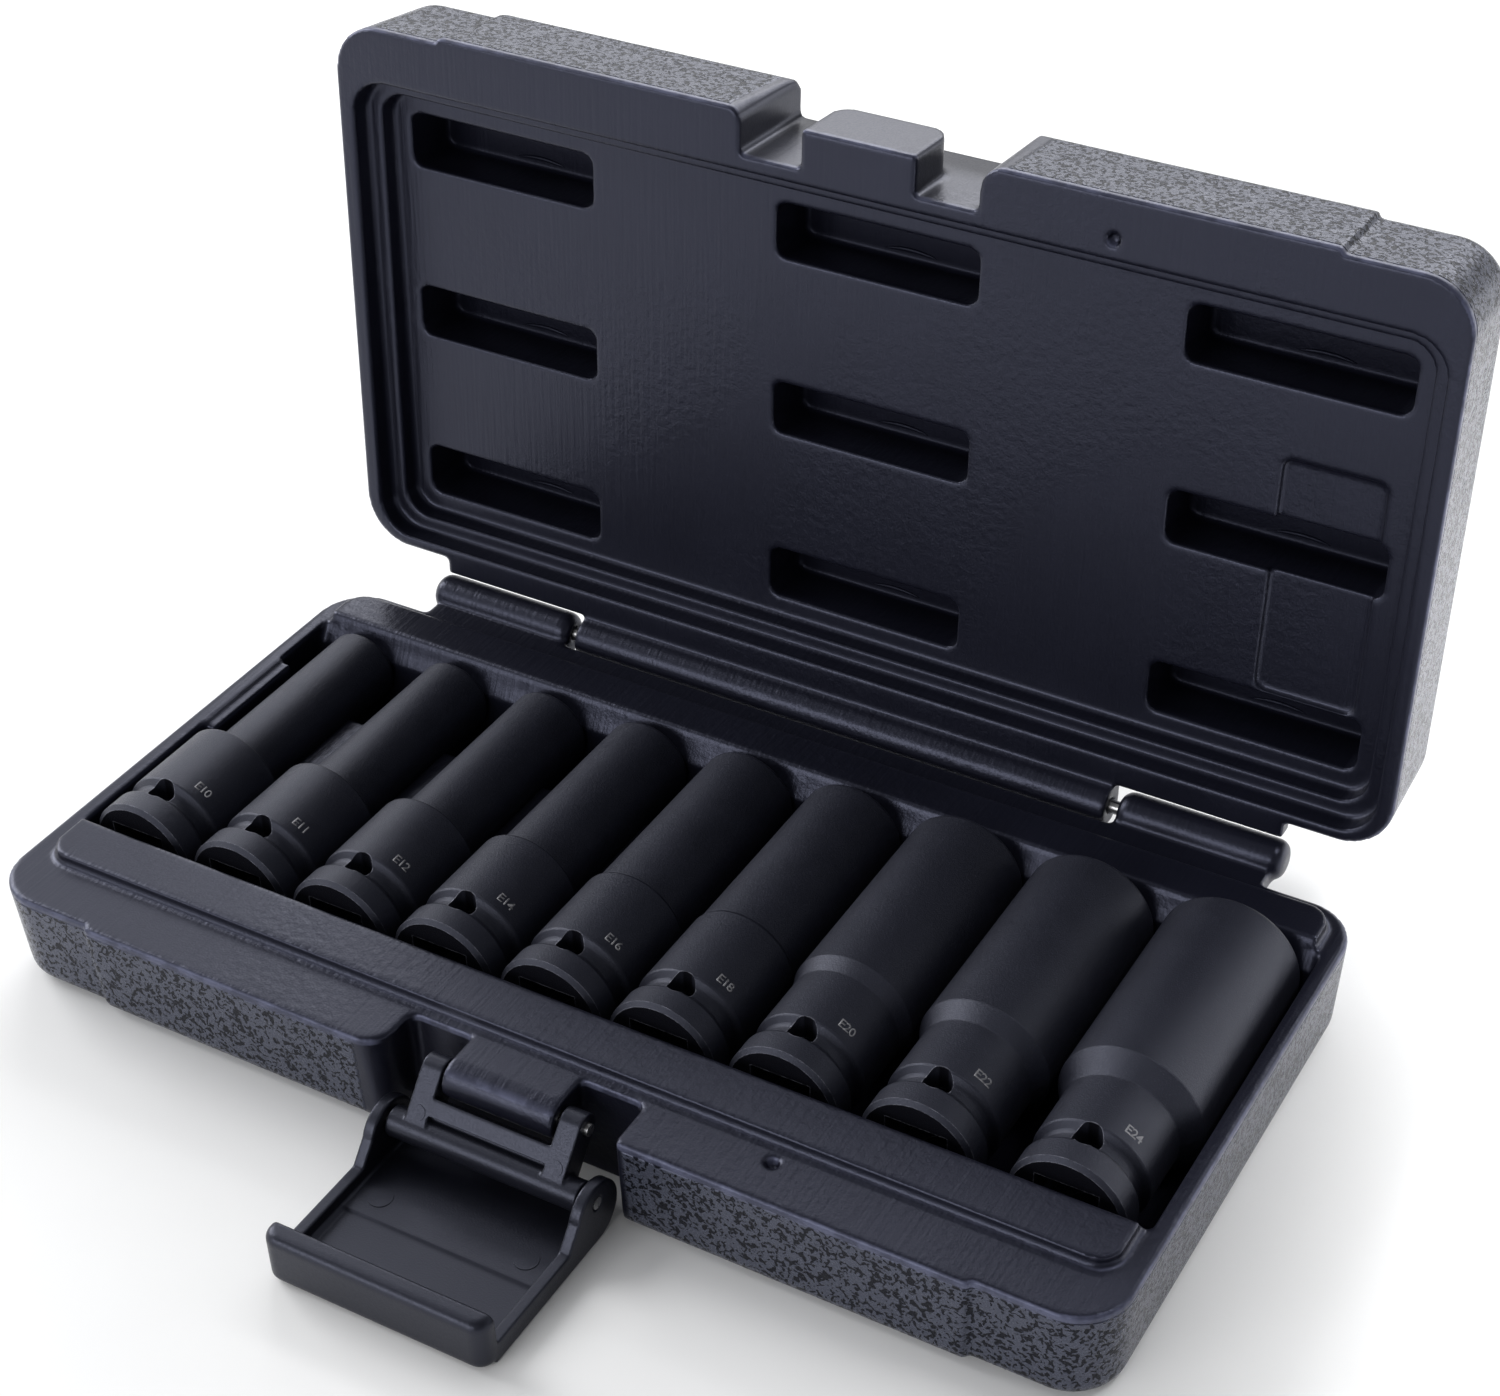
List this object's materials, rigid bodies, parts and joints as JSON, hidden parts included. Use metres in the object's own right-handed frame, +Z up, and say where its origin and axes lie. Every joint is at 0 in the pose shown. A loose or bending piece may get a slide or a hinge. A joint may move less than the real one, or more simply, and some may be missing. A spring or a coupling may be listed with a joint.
{
  "type": "impact socket set in case",
  "caption": "Black blow-moulded carrying case, open, with a row of deep impact sockets with six-lobed star ends in its bed and a toggle latch at the front.",
  "frame": {"origin": "centre of the base half's footprint, on the surface that the case stands on", "axes": "X along the case, to the right seen from the latch; Y from the latch to the hinge; Z up"},
  "size_m": [0.25, 0.2093, 0.1554],
  "materials": {
    "case_plastic": "moulded black polyethylene, pebbled outside and satin inside",
    "latch_plastic": "satin moulded black polypropylene",
    "pin_steel": "plain drawn steel",
    "socket_steel": "black phosphated impact steel, worn bright on its edges"
  },
  "bodies": {
    "base": {"base_shell": "case_plastic", "hinge_pin": "pin_steel", "latch_base_pin": "pin_steel"},
    "lid": {"lid_shell": "case_plastic"},
    "link": {"latch_link": "latch_plastic"},
    "lever": {"latch_lever": "latch_plastic", "latch_lever_pin": "pin_steel"},
    "e10_socket": {"socket_e10": "socket_steel"},
    "e11_socket": {"socket_e11": "socket_steel"},
    "e12_socket": {"socket_e12": "socket_steel"},
    "e14_socket": {"socket_e14": "socket_steel"},
    "e16_socket": {"socket_e16": "socket_steel"},
    "e18_socket": {"socket_e18": "socket_steel"},
    "e20_socket": {"socket_e20": "socket_steel"},
    "e22_socket": {"socket_e22": "socket_steel"},
    "e24_socket": {"socket_e24": "socket_steel"}
  },
  "joints": [
    {"name": "lid_hinge", "type": "hinge", "parent": "base", "child": "lid", "pos_m": [0, 0.0708, 0.023], "axis": [-1, 0, 0], "range_deg": [-94.35, 0]},
    {"name": "link_hinge", "type": "hinge", "parent": "base", "child": "link", "pos_m": [0, -0.0578, 0.0187], "axis": [-1, 0, 0], "range_deg": [-48.51, 0]},
    {"name": "lever_hinge", "type": "hinge", "parent": "link", "child": "lever", "pos_m": [0, -0.06566, 0.0095], "axis": [1, 0, 0], "range_deg": [-138.51, 0]},
    {"name": "lift_e10", "type": "slide", "parent": "base", "child": "e10_socket", "axis": [0, 0, 1], "range_m": [0, 0.06]},
    {"name": "lift_e11", "type": "slide", "parent": "base", "child": "e11_socket", "axis": [0, 0, 1], "range_m": [0, 0.06]},
    {"name": "lift_e12", "type": "slide", "parent": "base", "child": "e12_socket", "axis": [0, 0, 1], "range_m": [0, 0.06]},
    {"name": "lift_e14", "type": "slide", "parent": "base", "child": "e14_socket", "axis": [0, 0, 1], "range_m": [0, 0.06]},
    {"name": "lift_e16", "type": "slide", "parent": "base", "child": "e16_socket", "axis": [0, 0, 1], "range_m": [0, 0.06]},
    {"name": "lift_e18", "type": "slide", "parent": "base", "child": "e18_socket", "axis": [0, 0, 1], "range_m": [0, 0.06]},
    {"name": "lift_e20", "type": "slide", "parent": "base", "child": "e20_socket", "axis": [0, 0, 1], "range_m": [0, 0.06]},
    {"name": "lift_e22", "type": "slide", "parent": "base", "child": "e22_socket", "axis": [0, 0, 1], "range_m": [0, 0.06]},
    {"name": "lift_e24", "type": "slide", "parent": "base", "child": "e24_socket", "axis": [0, 0, 1], "range_m": [0, 0.06]}
  ],
  "couplings": [
    {"joint": "lever_hinge", "follows": "link_hinge", "ratio": 2.8554}
  ]
}
